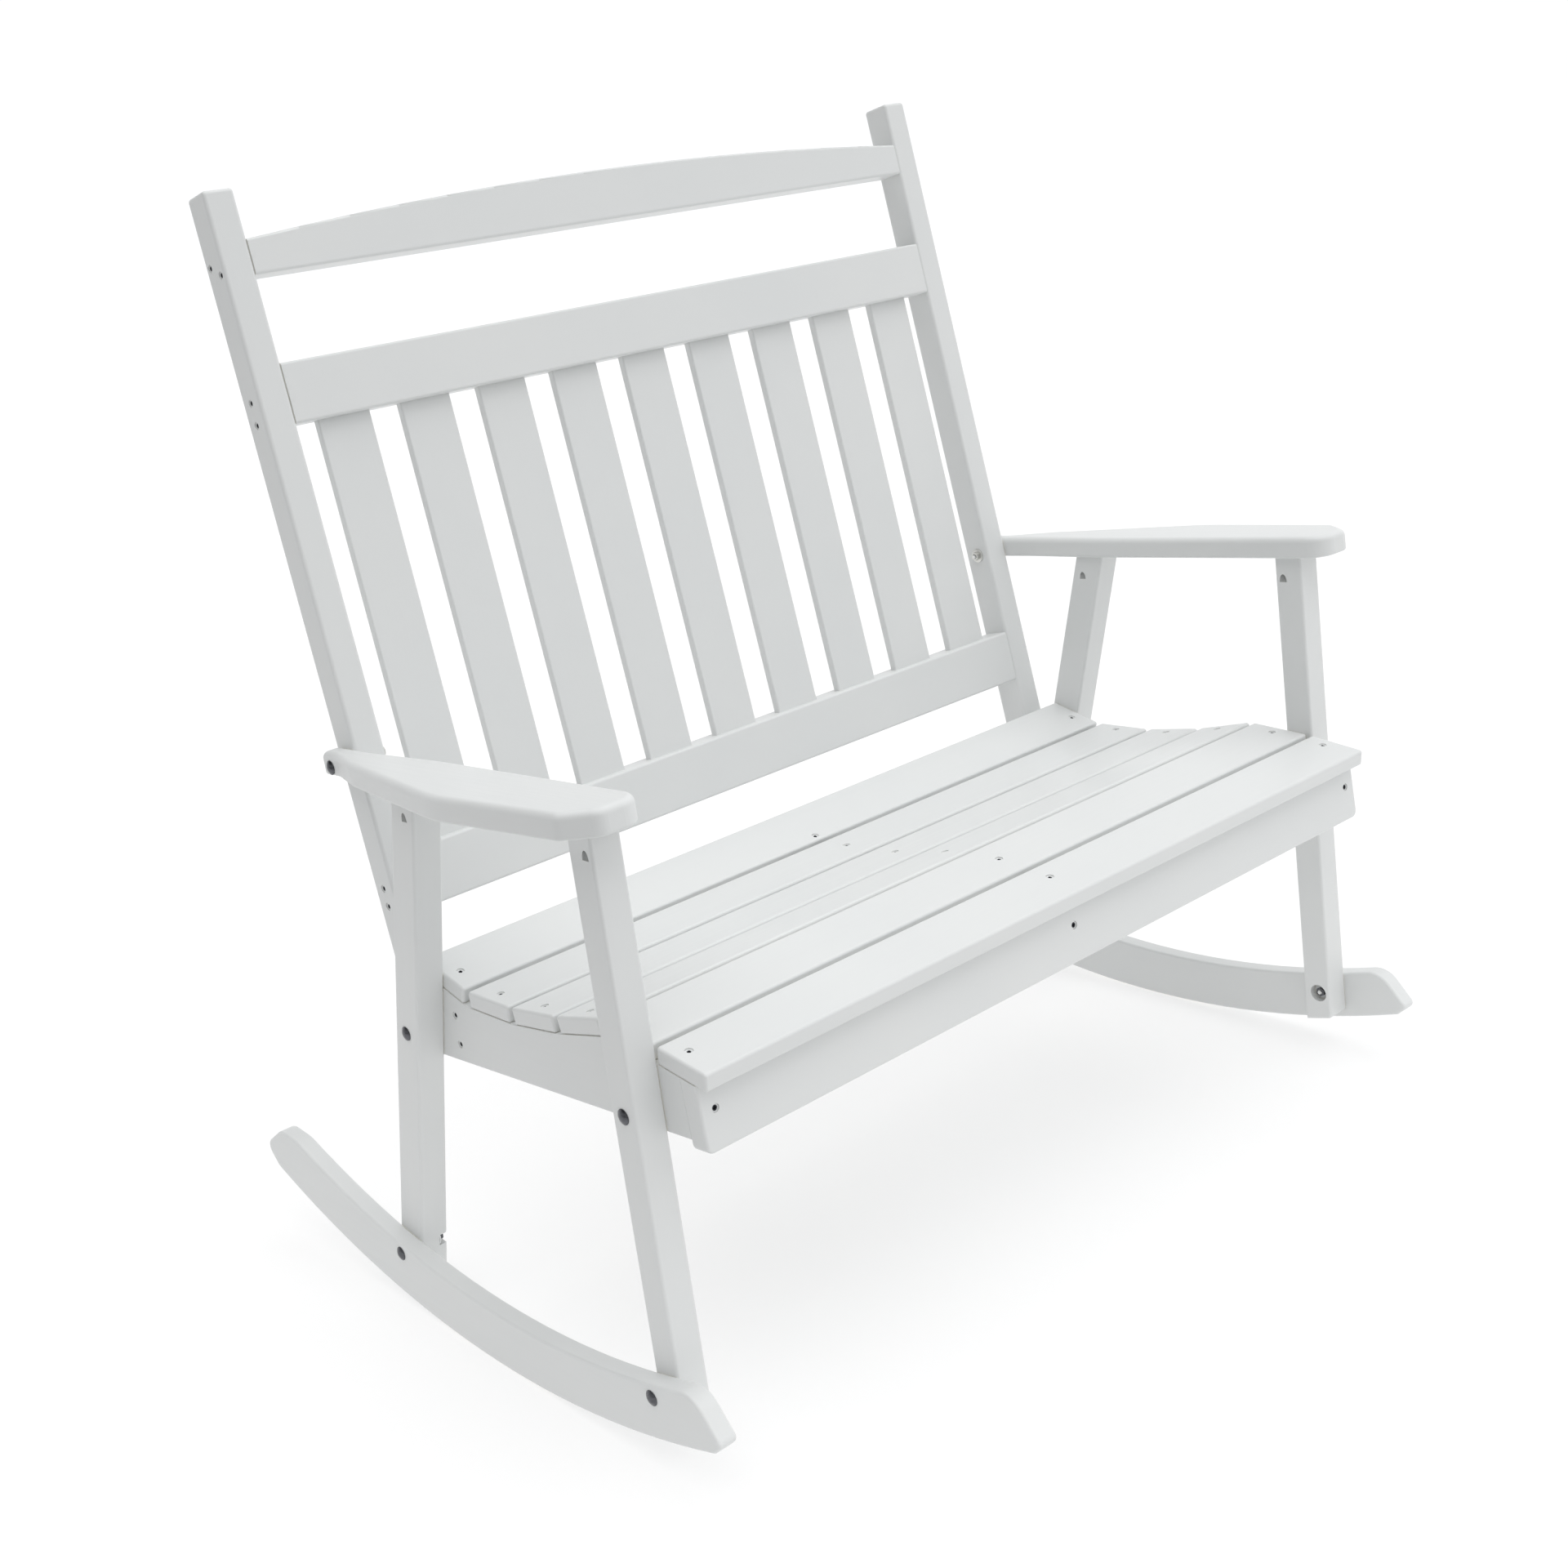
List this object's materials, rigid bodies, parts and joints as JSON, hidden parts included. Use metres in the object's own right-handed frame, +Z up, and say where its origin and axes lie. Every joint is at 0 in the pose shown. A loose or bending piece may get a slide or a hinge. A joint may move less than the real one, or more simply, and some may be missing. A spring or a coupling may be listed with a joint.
{
  "type": "rocking bench",
  "caption": "Painted wooden two-seat rocking bench with a slatted high back, contoured slat seat, flat arms, splayed legs and curved rockers.",
  "frame": {"origin": "on the floor, midway between the rockers, where they touch it at rest", "axes": "+Z up, -Y the way a sitter faces, +X to the sitter's left"},
  "size_m": [1.1344, 0.8233, 1.1831],
  "materials": {
    "painted_wood": "satin white paint on planed softwood",
    "dark_steel": "black-coated steel",
    "painted_steel": "screw heads and washers sprayed over with the bench's white paint",
    "zinc_steel": "dull zinc-plated steel"
  },
  "bodies": {
    "root": {"apron_screws": "painted_steel", "arm_bolts": "dark_steel", "arm_left": "painted_wood", "arm_nuts": "zinc_steel", "arm_right": "painted_wood", "arm_toe_screws": "painted_steel", "arm_washers": "zinc_steel", "back_post_left": "painted_wood", "back_post_right": "painted_wood", "back_rail_screws": "painted_steel", "back_slat_1": "painted_wood", "back_slat_2": "painted_wood", "back_slat_3": "painted_wood", "back_slat_4": "painted_wood", "back_slat_5": "painted_wood", "back_slat_6": "painted_wood", "back_slat_7": "painted_wood", "back_slat_8": "painted_wood", "back_slat_9": "painted_wood", "crest_rail": "painted_wood", "front_apron": "painted_wood", "front_leg_left": "painted_wood", "front_leg_right": "painted_wood", "lower_back_rail": "painted_wood", "middle_rail": "painted_wood", "middle_rail_screws": "painted_steel", "post_foot_screws": "painted_steel", "rail_bolts": "dark_steel", "rail_nuts": "zinc_steel", "rail_washers": "zinc_steel", "rear_leg_left": "painted_wood", "rear_leg_right": "painted_wood", "rear_rail": "painted_wood", "rear_rail_screws": "painted_steel", "rocker_bolts": "dark_steel", "rocker_left": "painted_wood", "rocker_nuts": "dark_steel", "rocker_right": "painted_wood", "rocker_washers": "painted_steel", "seat_board_1": "painted_wood", "seat_board_2": "painted_wood", "seat_board_3": "painted_wood", "seat_board_4": "painted_wood", "seat_board_5": "painted_wood", "seat_board_6": "painted_wood", "seat_board_screws": "painted_steel", "side_rail_left": "painted_wood", "side_rail_right": "painted_wood", "upper_back_rail": "painted_wood"}
  },
  "joints": []
}
